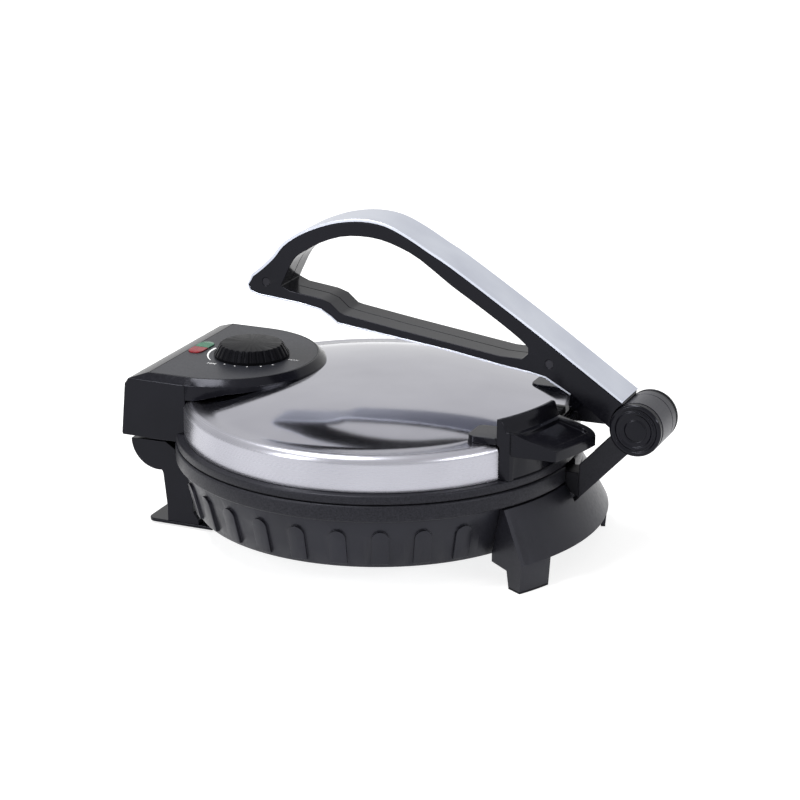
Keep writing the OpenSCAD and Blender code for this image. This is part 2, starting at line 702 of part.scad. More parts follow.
// Housing at the rear of the lid: a wide block over the hinge and a round nose over the cover
module control_housing() {
  panel_border = 1;
  rear_top_y = house_rear_y - 6;
  inner_rear = hinge_y - 5.5;
  color([0.05, 0.05, 0.05]) placed() difference() {
    union() {
      along_x(-house_half_w, house_half_w) polygon([
        [house_front_y, lid_bottom_z], [house_rear_y - 0.6, lid_bottom_z], [house_rear_y, lid_bottom_z + 1.5],
        [house_rear_y - 3.2, side_top_z - 4], [rear_top_y, side_top_z], [house_front_y, side_top_z]
      ]);
      // round nose: its foot stands on the cover, and its edge rises towards the tip
      translate([0, 0, nose_bottom_z])
        linear_extrude(side_top_z - nose_bottom_z) d_shape(nose_foot_r, nose_y + 4);
      intersection() {
        translate([0, 0, nose_bottom_z])
          linear_extrude(side_top_z - nose_bottom_z) d_shape(house_half_w, nose_y + 4);
        along_x(-house_half_w, house_half_w) polygon([
          [nose_y + 4, nose_bottom_z], [house_front_y - 5.5, nose_bottom_z],
          [nose_y - house_half_w * 0.43, nose_bottom_z + nose_rise * 0.65],
          [nose_y - house_half_w, nose_bottom_z + nose_rise], [nose_y - house_half_w, side_top_z],
            [nose_y + 4, side_top_z]
        ]);
      }
      // slanted border of the nose, then of the straight sides and the rear
      translate([0, nose_y, 0]) rotate([0, 0, 180]) rotate_extrude(angle = 180, $fn = 120) polygon([
        [0, side_top_z - 1], [house_half_w, side_top_z - 1], [house_half_w, side_top_z],
          [panel_r, panel_top_z], [0, panel_top_z]
      ]);
      intersection() {
        translate([0, rear_top_y, 0]) rotate([90, 0, 0]) linear_extrude(rear_top_y - nose_y) polygon([
          [-house_half_w, side_top_z - 1], [house_half_w, side_top_z - 1], [house_half_w, side_top_z],
          [panel_r, panel_top_z], [-panel_r, panel_top_z], [-house_half_w, side_top_z]
        ]);
        along_x(-house_half_w, house_half_w) polygon([
          [nose_y - 1, side_top_z - 1], [rear_top_y, side_top_z - 1], [rear_top_y, side_top_z],
          [panel_rear_y, panel_top_z], [nose_y - 1, panel_top_z]
        ]);
      }
    }
    // recess of the panel and the hollow under it
    translate([0, 0, panel_seat_z])
      linear_extrude(panel_t + 1) d_shape(panel_r - panel_border, panel_rear_y - panel_border);
    translate([0, 0, nose_bottom_z + house_wall]) linear_extrude(panel_top_z - nose_bottom_z)
      d_shape(nose_foot_r - house_wall, panel_rear_y - 5);
    translate([0, 0, side_top_z]) linear_extrude(bevel_h) d_shape(panel_r - 5, panel_rear_y - 5);
    // pocket of the lamps behind the hollow
    translate([-lens_len / 2 - 6, lens_y - 10, panel_seat_z - 10.5]) cube([lens_len + 14, lens_r + 11.4, 11]);
    // rear chamber over the hinge
    along_x(-house_half_w + house_wall, house_half_w - house_wall) polygon([
      [house_front_y + house_wall, lid_bottom_z + 14], [house_rear_y - house_wall - 2.4, lid_bottom_z + 14],
      [house_rear_y - house_wall - 4, side_top_z - 5], [rear_top_y - 3, side_top_z - house_wall],
      [house_front_y + house_wall, side_top_z - house_wall]
    ]);
    // room for the hinge barrel of the base
    intersection() {
      rod_x(knuckle_r + clear, -rear_half_w - 0.8, rear_half_w + 0.8, hinge_y, hinge_z);
      translate([-house_half_w, inner_rear, lid_bottom_z - 1]) cube([2 * house_half_w, 40, 40]);
    }
    along_x(-rear_half_w - 0.8, rear_half_w + 0.8) polygon([
      [inner_rear, lid_bottom_z - 1], [hinge_y + 4, lid_bottom_z - 1], [hinge_y + 4, lid_bottom_z + 15],
        [inner_rear, lid_bottom_z + 15]
    ]);
    rod_x(hinge_boss_r + clear, -rear_half_w - 0.8, rear_half_w + 0.8, hinge_y, hinge_z);
    // seat of the upper plate and its rim
    translate([0, 0, lid_bottom_z - 1])
      cylinder(r = plate_hole_r + seat, h = lid_thick_top_z - lid_bottom_z + 5, $fn = 120);
    for (s = [-1, 1], d = [-1, 1]) translate([s * ear_x + d * 6.4, inner_rear - 8, lid_bottom_z + 9])
      rotate([-90, 0, 0]) cylinder(r = screw_r + fit, h = 10, $fn = 24);
  }
}

// Pill outline that both lenses share
module lens_shape(r) {
  half = lens_len / 2 - lens_r;
  translate([1, lens_y]) {
    for (s = [-1, 1]) translate([s * half, 0]) circle(r, $fn = 36);
    translate([-half, -r]) square([2 * half, 2 * r]);
  }
}

module control_panel() {
  color([0.2, 0.2, 0.21]) placed() translate([0, 0, panel_seat_z + seat]) linear_extrude(panel_t - seat)
    difference() {
    d_shape(panel_r - 1 - seat, panel_rear_y - 1 - seat);
    lens_shape(lens_r + seat);
    translate([0, knob_y]) circle(shaft_r + 2.2 + seat, $fn = 36);
  }
}

module lens_half(s) {
  placed() translate([0, 0, panel_seat_z - 2.4]) intersection() {
    union() {
      linear_extrude(panel_t + 3.2) lens_shape(lens_r);
      linear_extrude(2.4 - seat) lens_shape(lens_r + 1.2);
    }
    translate([1 + s * (lens_len / 2 + 2) - (lens_len / 2 + 2) + s * 0.1, lens_y - lens_r - 2, 0])
      cube([lens_len + 4, 2 * lens_r + 4, 8]);
  }
}

module red_lens() {
  color([0.8, 0.05, 0.04]) lens_half(-1);
}

module green_lens() {
  color([0.05, 0.5, 0.12]) lens_half(1);
}

// Two small lamps on a carrier that hangs from the panel
module signal_lamps() {
  carrier_z = panel_seat_z - 9.5;
  reach = lens_len / 2 + 3;
  color([0.9, 0.85, 0.75]) placed() translate([1, lens_y, 0]) {
    translate([-reach - 3, -3, carrier_z]) cube([2 * reach + 6, 6, 1.6]);
    for (s = [-1, 1]) {
      translate([s * (reach + 1.5) - 1.5, -3, carrier_z]) cube([3, 6, panel_seat_z - carrier_z]);
      translate([s * lens_len / 4, 0, carrier_z]) cylinder(r = 2.2, h = 4.4, $fn = 24);
      translate([s * lens_len / 4, 0, carrier_z + 4.4]) sphere(2.2, $fn = 24);
    }
  }
}

module shaft_shape(r) {
  difference() {
    circle(r, $fn = 32);
    translate([shaft_flat + r - shaft_r, -r - 1]) square([r, 2 * r + 2]);
  }
}

module thermostat() {
  color([0.8, 0.78, 0.72]) placed() translate([0, knob_y, 0]) difference() {
    union() {
      translate([0, 0, panel_seat_z - thermostat_h]) cylinder(r = thermostat_r, h = thermostat_h, $fn = 48);
      translate([0, 0, panel_seat_z - 0.5]) cylinder(r = shaft_r + 2.2, h = panel_t + 0.4, $fn = 36);
      for (s = [-1, 1]) translate([s * (thermostat_r + 2) - 3, -3, panel_seat_z - thermostat_h + 1])
        cube([6, 6, 1]);
    }
    translate([0, 0, panel_seat_z - thermostat_h + 1.5]) cylinder(r = shaft_r + fit, h = 20, $fn = 32);
  }
}

module knob_shaft() {
  color([0.6, 0.6, 0.6]) placed() translate([0, knob_y, 0]) {
    translate([0, 0, panel_seat_z - thermostat_h + 2])
      cylinder(r = shaft_r, h = thermostat_h + panel_t - 1.7, $fn = 32);
    translate([0, 0, panel_top_z + 0.2]) linear_extrude(knob_h - 2.6) shaft_shape(shaft_r);
  }
}

module knob() {
  lip_h = 1.4;
  side_h = knob_h - 1.6;
  flute_lean = atan((knob_r - 0.6 - knob_top_r) / (side_h - lip_h));
  color([0.05, 0.05, 0.05]) placed() translate([0, knob_y, panel_top_z + joint_gap]) difference() {
    rotate_extrude($fn = 120) polygon(concat(
      [[0, 0], [knob_r, 0], [knob_r, lip_h], [knob_r - 0.6, lip_h], [knob_top_r, side_h]],
      arc(knob_top_r - 1.4, side_h - 0.4, 1.4, 20, 90, 4),
      [[0, knob_h]]
    ));
    for (a = [0:360 / flute_count:359]) rotate([0, 0, a]) translate([knob_r - 0.2, 0, lip_h])
      rotate([0, -flute_lean, 0]) cylinder(r = flute_r, h = knob_h + 4, $fn = 12);
    translate([0, 0, -1]) linear_extrude(knob_h - 1.4) shaft_shape(shaft_r + fit);
  }
}

// Steel ears of the lid: an eye on the hinge pin and a foot on the housing
module hinge_ears() {
  foot_y = hinge_y - 5.4;
  color([0.6, 0.6, 0.6]) placed() both_sides() difference() {
    union() {
      rod_x(hinge_boss_r - 0.4, ear_x - ear_t / 2, ear_x + ear_t / 2, hinge_y, hinge_z);
      along_x(ear_x - ear_t / 2, ear_x + ear_t / 2) polygon([
        [foot_y, lid_bottom_z + 14], [foot_y + 2.4, lid_bottom_z + 14], [foot_y + 3.2, hinge_z + 6],
        [hinge_y, hinge_z], [hinge_y - 5.3, hinge_z + 2]
      ]);
      translate([ear_x - 10, foot_y, lid_bottom_z + 4.4]) cube([20, 2.4, 9.6]);
    }
    rod_x(hinge_pin_r + fit, ear_x - ear_t, ear_x + ear_t, hinge_y, hinge_z);
    for (d = [-1, 1]) translate([ear_x + d * 6.4, foot_y - 1, lid_bottom_z + 9])
      rotate([-90, 0, 0]) cylinder(r = screw_r + 0.2, h = 5, $fn = 24);
  }
}

module ear_screws() {
  foot_y = hinge_y - 5.4;
  color([0.6, 0.6, 0.6]) placed() for (s = [-1, 1], d = [-1, 1])
    translate([s * ear_x + d * 6.4, 0, lid_bottom_z + 9]) rotate([-90, 0, 0]) {
      translate([0, 0, foot_y - 7]) cylinder(r = screw_r, h = 10, $fn = 24);
      translate([0, 0, foot_y + 2.4 + seat]) cylinder(r = 2.6, h = 1.4, $fn = 24);
    }
}

// Front grip: a skirt round the cover, a ridge on its edge and two wings with trays
module front_grip() {
  grip_in = cover_r + 0.3;
  grip_r = lid_rim_r + 0.3;
  post_w = 3.6;
  saddle_z = cover_top_z + 1.8;
  color([0.05, 0.05, 0.05]) placed() difference() {
    union() {
      intersection() {
        grip_revolve([
          [grip_in, cover_bottom_z + seat], [grip_r - 1.2, cover_bottom_z + seat],
            [grip_r - 1.2, cover_top_z - 1],
          [grip_in, cover_top_z - 1]
        ]);
        front_box(0, grip_half_w);
      }
      both_sides() {
        // ridge and the wall that carries it
        intersection() {
          grip_revolve([
            [cover_r - 1.4, cover_top_z + 0.1], [grip_in, cover_top_z - 2], [grip_r - 1.2, cover_top_z - 2],
            [grip_r - 1.2, wing_rear_z - 1], [cover_r + 1.8, ridge_top_z - 1], [cover_r + 0.8, ridge_top_z],
              [cover_r + 1.8 - ridge_t, ridge_top_z]
          ]);
          front_box(strip_half_w, grip_half_w);
        }
        // end post
        intersection() {
          grip_revolve([
            [grip_in, cover_bottom_z + seat], [grip_r + 0.6, cover_bottom_z + seat],
              [grip_r + 0.6, wing_rear_z], [grip_in, wing_rear_z]
          ]);
          front_box(grip_half_w - post_w, grip_half_w);
        }
        wing();
        corner_tab();
      }
      // low saddle under the lever
      intersection() {
        grip_revolve([[cover_r - 12, cover_top_z + 0.2], [grip_in + 0.4, cover_top_z + 0.2],
          [grip_in + 0.4, saddle_z], [cover_r - 12, saddle_z]]);
        front_box(0, strip_half_w + 2);
      }
    }
    // seat of the press pad
    translate([-10.2, -cover_r + 1.8, saddle_z - 1]) cube([20.4, 7.4, 3]);
  }
}

module grip_revolve(p) {
  rotate([0, 0, -130]) rotate_extrude(angle = 80, $fn = 120) polygon(p);
}

// Block in front of the plate axis between the distances x0 and x1 from the centre line
module front_box(x0, x1) {
  translate([x0 == 0 ? -x1 : x0, -wing_r - 4, 0])
    cube([x0 == 0 ? 2 * x1 : x1 - x0, wing_r, ridge_top_z + 10]);
}

// One wing: a wedge that thins to the front, rounded at its inner front corner
module wing() {
  side_x = grip_half_w - 1.5;
  corner = 12;
  border = 5.5;
  difference() {
    intersection() {
      grip_revolve([
        [cover_r + 1, wing_bottom_z], [wing_r, wing_bottom_z + 0.4], [wing_r, wing_front_z],
          [cover_r + 1, wing_rear_z]
      ]);
      linear_extrude(ridge_top_z) wing_plan(0, side_x, corner);
    }
    // tray
    intersection() {
      grip_revolve([
        [cover_r + 1.8 + border, wing_rear_z - tray_depth - 1.4],
          [wing_r - border, wing_front_z - tray_depth + 1.2],
        [wing_r - border, wing_rear_z + 4], [cover_r + 1.8 + border, wing_rear_z + 4]
      ]);
      linear_extrude(ridge_top_z + 5) wing_plan(border, side_x, corner);
    }
  }
}

// Plan of a wing, drawn in by g on all sides
module wing_plan(g, side_x, corner) {
  inner_x = strip_half_w + g;
  outer_x = side_x - g;
  corner_y = -wing_r + corner + 1.2;
  translate([inner_x + corner, -wing_r - 1]) square([outer_x - inner_x - corner, wing_r]);
  translate([inner_x, corner_y]) square([outer_x - inner_x, wing_r]);
  translate([inner_x + corner - g / 2, corner_y]) circle(corner - g / 2, $fn = 40);
}

// Lip that holds the grip down on the cover beside each post
module corner_tab() {
  tab_len = 21;
  tab_w = 24;
  corner = 5;
  intersection() {
    translate([grip_half_w + 2 - tab_w, 19.2 - cover_r, cover_top_z + 0.1]) linear_extrude(4.4) {
      translate([corner, 0]) square([tab_w - 2 * corner, tab_len]);
      translate([0, -12]) square([tab_w, tab_len + 12 - corner]);
      for (x = [corner, tab_w - corner]) translate([x, tab_len - corner]) circle(corner, $fn = 24);
    }
    cylinder(r = cover_r - 0.6, h = ridge_top_z, $fn = 120);
  }
}

// Rubber pad in the saddle
module press_pad() {
  color([0.1, 0.1, 0.1]) placed() translate([-10, -cover_r + 2, cover_top_z + 1.8 - 1 + seat]) difference() {
    cube([20, 7, 3.4]);
    for (x = [3.2:4.2:18]) translate([x, -1, 2.6]) cube([1, 9, 2]);
  }
}

// Side view of the link: straight leaning arms, cut off upright in front of the rim
module arm_profile(lower, upper, start) {
  intersection() {
    translate([hub_y, hub_z]) rotate(-link_lean) translate([start, -lower]) square([90, lower + upper]);
    translate([hub_y - hub_z, 0]) square([knee_y - hub_y + hub_z, 2 * hub_z]);
  }
}

module press_link() {
  eye_out = eye_in + link_t;
  color([0.06, 0.06, 0.06]) placed() difference() {
    union() {
      // side arms with their eyes
      both_sides() {
        along_x(eye_in, eye_out) arm_profile(link_w / 2, link_w / 2, 0);
        rod_x(barrel_r - 0.3, eye_in, eye_out, hub_y, hub_z);
      }
      // web along the lower edge
      along_x(-eye_out, eye_out) arm_profile(link_w / 2, link_t - link_w / 2, barrel_r + 3.5);
      // tongue that runs through the slot to the pivot
      along_x(-tongue_half_w, tongue_half_w) tongue_profile();
      rod_x(pivot_eye_r, -tongue_half_w, tongue_half_w, pivot_y, pivot_z);
    }
    rod_x(pivot_pin_r + fit, -tongue_half_w - 1, tongue_half_w + 1, pivot_y, pivot_z);
    rod_x(axle_r + fit, -barrel_half, barrel_half, hub_y, hub_z);
  }
}

// The tongue turns up from the lower end of the arms to the pivot eye
module tongue_profile() {
  low = link_w / 2;
  knee_len = (knee_y - hub_y + low * sin(link_lean)) / cos(link_lean);
  knee_z = hub_z - knee_len * sin(link_lean) - low * cos(link_lean);
  polygon([
    [knee_y - 1.5, knee_z + 2.4], [knee_y + 3.5, knee_z - 2], [pivot_y - 6.6, pivot_z - 8],
      [pivot_y + 1.4, pivot_z - pivot_eye_r + 0.3],
    [pivot_y, pivot_z + pivot_eye_r - 0.05], [knee_y - 1.5, pivot_z + pivot_eye_r - 0.05]
  ]);
}

module barrel_axle() {
  color([0.6, 0.6, 0.6]) placed() rod_x(axle_r, -barrel_half + 1.2, barrel_half - 1.2, hub_y, hub_z);
}

// End caps with raised rings
module barrel_caps() {
  color([0.05, 0.05, 0.05]) placed() both_sides() translate([cap_in, hub_y, hub_z]) rotate([0, 90, 0])
    difference() {
    rotate_extrude($fn = 64) polygon([
      [0, 0], [barrel_r, 0], [barrel_r, 2], [barrel_r - 1, 3], [barrel_r - 2.6, 3], [barrel_r - 3.2, 2.3],
        [13.2, 2.3],
      [12.6, 2.9], [11.2, 2.9], [10.6, 2.2], [8, 2.2], [7.4, 1.9], [6.6, 2.6], [0, 2.8]
    ]);
    translate([0, 0, -1]) cylinder(r = axle_r + fit, h = 1 + barrel_half - 1.2 - cap_in + seat, $fn = 40);
  }
}

module barrel_sleeve() {
  groove_x = 6.4;
  color([0.3, 0.3, 0.32]) placed() difference() {
    rod_x(barrel_r, -sleeve_half, sleeve_half, hub_y, hub_z);
    rod_x(axle_r + fit, -barrel_half, barrel_half, hub_y, hub_z);
    translate([groove_x, hub_y, hub_z]) rotate([0, 90, 0]) rotate_extrude($fn = 64)
      translate([barrel_r - 0.5, 0]) square([2, 0.6]);
  }
}

// Outline of the lever in Y and Z, measured from the barrel axis
crown_pts = [
  [10.3, 15.7], [59.7, 48.8], [94.3, 71.1], [129.2, 92.7], [143.2, 100.2], [159, 108.8], [174.9, 115.3],
    [191, 116.9],
  [207, 114.8], [221.5, 110.3], [236.2, 103.4], [248.2, 94.8], [255.5, 85.6], [264.6, 76.8], [273.7, 69.5]
];
nose_pts = [[276, 65.6], [273.9, 61.2], [267.9, 59.1]];
belly_pts = [
  [236.8, 56.3], [222.1, 53.8], [214.9, 49.8], [209.8, 45.9], [204, 44.9], [164.3, 40.3], [128.8, 36.3],
    [93.8, 30.8],
  [73, 28.3], [62.7, 26.5], [57.9, 23.8], [45.4, 16.9], [20.6, 0.2]
];
// Opening of the handle loop
loop_top_pts = [
  [250.7, 67.2], [243.8, 81.8], [238.6, 89.2], [231.2, 94], [221.6, 99.8], [207.1, 105.3], [192.7, 107.1],
    [178.5, 106.3],
  [164.3, 102.3], [150.2, 95.8], [129.1, 81.3], [115.1, 72.8], [94.2, 59.8], [80.3, 50.3], [74.7, 45.3]
];
loop_low_pts = [
  [74.6, 41.2], [78.7, 37.4], [93.9, 37.5], [128.8, 42.1], [164.3, 46.8], [203.9, 52.5], [207.5, 53.4],
    [214.8, 59.5], [222.1, 61.8],
  [244.1, 64.5]
];

// The trim runs over the crown, round the nose and along the underside up to its last point
under_pts = concat(nose_pts, [for (i = [0:len(belly_pts) - 2]) belly_pts[i]]);
crown_line = smooth(crown_pts, 3);
trim_line = concat(crown_line, under_pts);
crown_count = len(crown_line);

// Points of the line p moved out along its normal, by top on the crown and by under on the rest
function moved_out(p, top, under) = [for (i = [0:len(p) - 1])
  let (a = p[max(i - 1, 0)], b = p[min(i + 1, len(p) - 1)], d = b - a, l = norm(d))
    p[i] + (i < crown_count - 1 ? top : under) * [-d[1], d[0]] / l];

module lever_side() {
  translate([hub_y, hub_z]) difference() {
    polygon(concat(
      moved_out(trim_line, 0, -under_trim_t - seat), [belly_pts[len(belly_pts) - 1]], [[12, -6], [0, 0]]
    ));
    polygon(concat(smooth(loop_top_pts, 2), loop_low_pts));
    circle(barrel_r + seat, $fn = 72);
  }
}

module lever_half() {
  difference() {
    along_x(eps * 5, lever_half_w) lever_side();
    // room for the link eye
    rod_x(barrel_r + clear, eye_in - 0.3, barrel_half, hub_y, hub_z);
    // seats of the two lever screws
    for (p = screw_pts) {
      rod_x(screw_r + fit, -1, lever_half_w - 2, hub_y + p[0], hub_z + p[1]);
      rod_x(2.8, lever_half_w - 2.2, lever_half_w + 1, hub_y + p[0], hub_z + p[1]);
    }
  }
}
screw_pts = [[261.8, 68.8], [60, 36]];

module lever_left() {
  color([0.05, 0.05, 0.05]) placed() mirror([1, 0, 0]) lever_half();
}

module lever_right() {
  color([0.05, 0.05, 0.05]) placed() lever_half();
}

module lever_trim() {
  inner = moved_out(trim_line, seat, -under_trim_t);
  outer = moved_out(trim_line, trim_t, 0);
  color([0.78, 0.79, 0.8]) placed() difference() {
    along_x(-lever_half_w, lever_half_w) translate([hub_y, hub_z])
      polygon(concat(inner, [for (i = [len(outer) - 1:-1:0]) outer[i]]));
    rod_x(barrel_r + clear, -barrel_half, barrel_half, hub_y, hub_z);
  }
}

module lever_screws() {
  color([0.6, 0.6, 0.6]) placed() for (p = screw_pts) {
    rod_x(screw_r, -lever_half_w + 2, lever_half_w - 2, hub_y + p[0], hub_z + p[1]);
    both_sides() rod_x(2.7, lever_half_w - 2.1, lever_half_w - 0.4, hub_y + p[0], hub_z + p[1]);
  }
}

base_shell();
base_rim();
front_apron();
rear_housing();
rear_foot();
foot_soles();
bottom_cover();
cover_screws();
lower_plate();
lower_heater();
heat_shield();
shield_studs();
terminal_block();
cord_gland();
hinge_pins();
pivot_pin();
lid_rim();
lid_cover();
upper_plate();
upper_heater();
front_grip();
press_pad();
control_housing();
control_panel();
red_lens();
green_lens();
signal_lamps();
thermostat();
hinge_ears();
ear_screws();
knob();
knob_shaft();
press_link();
barrel_axle();
barrel_caps();
lever_left();
lever_right();
lever_trim();
barrel_sleeve();
lever_screws();
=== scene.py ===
"""Looks of the electric roti maker: finishes, rounded edges, printed marks, camera, lamps and floor."""

import json
import math

import bmesh
import bpy
from mathutils import Matrix, Vector

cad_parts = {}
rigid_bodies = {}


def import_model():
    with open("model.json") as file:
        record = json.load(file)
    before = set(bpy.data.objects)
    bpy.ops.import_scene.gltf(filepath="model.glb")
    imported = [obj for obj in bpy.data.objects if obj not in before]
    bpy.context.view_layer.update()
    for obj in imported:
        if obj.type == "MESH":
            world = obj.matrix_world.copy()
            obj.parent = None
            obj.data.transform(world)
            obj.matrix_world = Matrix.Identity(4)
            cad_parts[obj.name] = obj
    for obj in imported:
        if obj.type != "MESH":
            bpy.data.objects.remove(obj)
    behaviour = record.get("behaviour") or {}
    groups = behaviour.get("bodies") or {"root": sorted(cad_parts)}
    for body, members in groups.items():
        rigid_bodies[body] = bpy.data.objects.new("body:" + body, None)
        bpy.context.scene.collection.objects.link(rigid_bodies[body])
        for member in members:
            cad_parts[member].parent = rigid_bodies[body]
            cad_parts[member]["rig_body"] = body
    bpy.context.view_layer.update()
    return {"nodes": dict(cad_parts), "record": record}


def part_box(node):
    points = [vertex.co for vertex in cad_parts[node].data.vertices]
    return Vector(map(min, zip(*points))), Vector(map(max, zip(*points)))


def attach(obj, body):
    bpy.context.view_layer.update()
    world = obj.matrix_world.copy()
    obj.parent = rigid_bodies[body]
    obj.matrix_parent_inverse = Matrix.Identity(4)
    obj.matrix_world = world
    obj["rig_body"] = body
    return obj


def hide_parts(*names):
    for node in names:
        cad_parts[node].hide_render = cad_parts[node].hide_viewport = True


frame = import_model()
NODES = frame["nodes"]
SLOT = {part["node"]: part["material_slot"] for part in frame["record"]["subparts"]}
MM = 0.001

# The plate axis stands at X = 0 and this Y in the part's frame, in metres.
plate_low, plate_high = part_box("lower_plate")
AXIS_Y = (plate_low.y + plate_high.y) / 2
cover_low, cover_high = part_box("lid_cover")
COVER_R = (cover_high.x - cover_low.x) / 2
house_low, house_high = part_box("control_housing")
# The dial is printed on the panel's top, round the middle of the knob.
PANEL_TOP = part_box("control_panel")[1].z
knob_low, knob_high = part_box("knob")
KNOB_Y = (knob_low.y + knob_high.y) / 2


def placed(name, data):
    """An object of the scene made of this mesh, lamp, camera or letters."""
    holder = bpy.data.objects.new(name, data)
    bpy.context.scene.collection.objects.link(holder)
    return holder


def piece_from(work, name, finish):
    """A piece of one finish made of a shape that is done."""
    mesh = bpy.data.meshes.new(name)
    work.to_mesh(mesh)
    work.free()
    mesh.materials.append(finish)
    return placed(name, mesh)


def linear(code):
    """A written sRGB colour such as "1a1b1e" as linear red, green, blue and full cover."""
    parts = [int(code[i : i + 2], 16) / 255 for i in (0, 2, 4)]
    return [c / 12.92 if c <= 0.04045 else ((c + 0.055) / 1.055) ** 2.4 for c in parts] + [1.0]


# Noise seldom leaves this range, so shades and gloss are spread over it.
NOISE_LOW, NOISE_HIGH = 0.3, 0.7
# The faint blue of the highlights on black plastic and coatings.
COOL_GLINT = linear("eef0ff")


def add(tree, kind, settings=None, links=None):
    """One shader node with its settings, input values and ramp stops, and the sockets that feed it."""
    node = tree.nodes.new(kind)
    for name, value in (settings or {}).items():
        if name == "stops":
            for stop, (position, colour) in zip(node.color_ramp.elements, value):
                stop.position = position
                stop.color = colour
        elif isinstance(name, int) or name in node.inputs:
            node.inputs[name].default_value = value
        else:
            setattr(node, name, value)
    for name, socket in (links or {}).items():
        tree.links.new(socket, node.inputs[name])
    return node


def new_finish(name):
    """An empty finish, its shader tree and the place on the piece in metres."""
    finish = bpy.data.materials.new(name)
    finish.use_nodes = True
    tree = finish.node_tree
    tree.nodes.clear()
    place = add(tree, "ShaderNodeTexCoord").outputs["Object"]
    return finish, tree, place


def close(finish, tree, shader):
    """The finish with this shader on its surface."""
    add(tree, "ShaderNodeOutputMaterial", None, {"Surface": shader.outputs[0]})
    return finish


def between(dark, light):
    """Ramp stops that turn noise into shades between two written colours."""
    return {"stops": [(NOISE_LOW, linear(dark)), (NOISE_HIGH, linear(light))]}


def over_noise(low, high):
    """Range settings that turn noise into values from low to high."""
    return {"From Min": NOISE_LOW, "From Max": NOISE_HIGH, "To Min": low, "To Max": high}


def grain(tree, place, size_mm, detail=2.0, stretch=(1, 1, 1)):
    """Noise whose spots are about size_mm wide, drawn out along an axis by stretch."""
    wide = add(tree, "ShaderNodeMapping", {"Scale": [1 / s for s in stretch]}, {"Vector": place})
    settings = {"Scale": 1 / (size_mm * MM), "Detail": detail, "Roughness": 0.55}
    return add(tree, "ShaderNodeTexNoise", settings, {"Vector": wide.outputs["Vector"]}).outputs["Fac"]


def skin(finish, tree, cloud, shades, texture, rough, depth_mm, settings, under_rough=None):
    """A surface whose shades follow a cloud, and whose roughness and relief follow a fine texture."""
    shade = add(tree, "ShaderNodeValToRGB", between(*shades), {"Fac": cloud})
    roughness = add(tree, "ShaderNodeMapRange", over_noise(*rough), {"Value": texture}).outputs["Result"]
    if under_rough is not None:
        both = add(tree, "ShaderNodeMath", {"operation": "ADD"}, {0: under_rough, 1: roughness})
        roughness = both.outputs["Value"]
    relief = {"Distance": depth_mm * MM, "Strength": 1.0}
    bump = add(tree, "ShaderNodeBump", relief, {"Height": texture})
    shader = add(
        tree,
        "ShaderNodeBsdfPrincipled",
        settings,
        {
            "Base Color": shade.outputs["Color"],
            "Roughness": roughness,
            "Normal": bump.outputs["Normal"],
        },
    )
    return close(finish, tree, shader)


def plastic(name, shades, rough, wave_mm, depth_mm, shine):
    """Moulded plastic: a slow change of shade and gloss, and the faint waviness of a moulding."""
    finish, tree, place = new_finish(name)
    cloud = grain(tree, place, size_mm=45)
    waves = grain(tree, place, wave_mm, detail=3.0)
    settings = {"Specular IOR Level": shine, "Specular Tint": COOL_GLINT}
    return skin(finish, tree, cloud, shades, waves, rough, depth_mm, settings)


def sheet_metal(name, shades, rough, stretch, line_mm, depth_mm):
    """Rolled or brushed metal: fine lines drawn out along one way, with soft clouding."""
    finish, tree, place = new_finish(name)
    lines = grain(tree, place, line_mm, 3.0, stretch)
    cloud = grain(tree, place, size_mm=38)
    return skin(finish, tree, cloud, shades, lines, rough, depth_mm, {"Metallic": 1.0})


def coated(name, shades, rough, grain_mm, depth_mm, shine):
    """Sprayed and baked coating on metal: a fine rough grain with small lighter specks."""
    finish, tree, place = new_finish(name)
    speck_mm = 0.8 * grain_mm
    bits = grain(tree, place, grain_mm, detail=4.0)
    specks = grain(tree, place, speck_mm, detail=1.0)
    settings = {"Specular IOR Level": shine, "Specular Tint": COOL_GLINT}
    return skin(finish, tree, specks, shades, bits, rough, depth_mm, settings)


def pressed_cover(name, shades, rough_top, rough_skirt):
    """Spun stainless cover: a polished top that mirrors softly, and a satin skirt with lines round it."""
    finish, tree, place = new_finish(name)
    moved = add(tree, "ShaderNodeVectorMath", {"operation": "ADD", 1: (0, -AXIS_Y, 0)}, {0: place})
    parts = add(tree, "ShaderNodeSeparateXYZ", None, {"Vector": moved.outputs["Vector"]})
    across = add(tree, "ShaderNodeCombineXYZ", None, {"X": parts.outputs["X"], "Y": parts.outputs["Y"]})
    radius = add(
        tree, "ShaderNodeVectorMath", {"operation": "LENGTH"}, {0: across.outputs["Vector"]}
    ).outputs["Value"]
    rings = add(tree, "ShaderNodeCombineXYZ", None, {"X": radius, "Z": parts.outputs["Z"]})
    lines = grain(tree, rings.outputs["Vector"], size_mm=0.7, detail=3.0)
    cloud = grain(tree, place, size_mm=60)
    # The polish fades to satin over the shoulder, from 16 to 3 mm inside the rim.
    polish = {
        "From Min": COVER_R - 16 * MM,
        "From Max": COVER_R - 3 * MM,
        "To Min": rough_top,
        "To Max": rough_skirt,
    }
    base = add(tree, "ShaderNodeMapRange", polish, {"Value": radius}).outputs["Result"]
    wander, depth_mm = (0.0, 0.03), 0.0004
    return skin(finish, tree, cloud, shades, lines, wander, depth_mm, {"Metallic": 1.0}, base)


def lens_plastic(name, shades):
    """Tinted see-through plastic over a lamp that is off: deep colour with a lighter heart."""
    finish, tree, place = new_finish(name)
    cloud = grain(tree, place, size_mm=6)
    shade = add(tree, "ShaderNodeValToRGB", between(*shades), {"Fac": cloud})
    shader = add(
        tree,
        "ShaderNodeBsdfPrincipled",
        {
            "Roughness": 0.14,
            "Specular IOR Level": 0.12,
            "Subsurface Weight": 0.1,
            "Subsurface Scale": 2 * MM,
        },
        {"Base Color": shade.outputs["Color"]},
    )
    return close(finish, tree, shader)


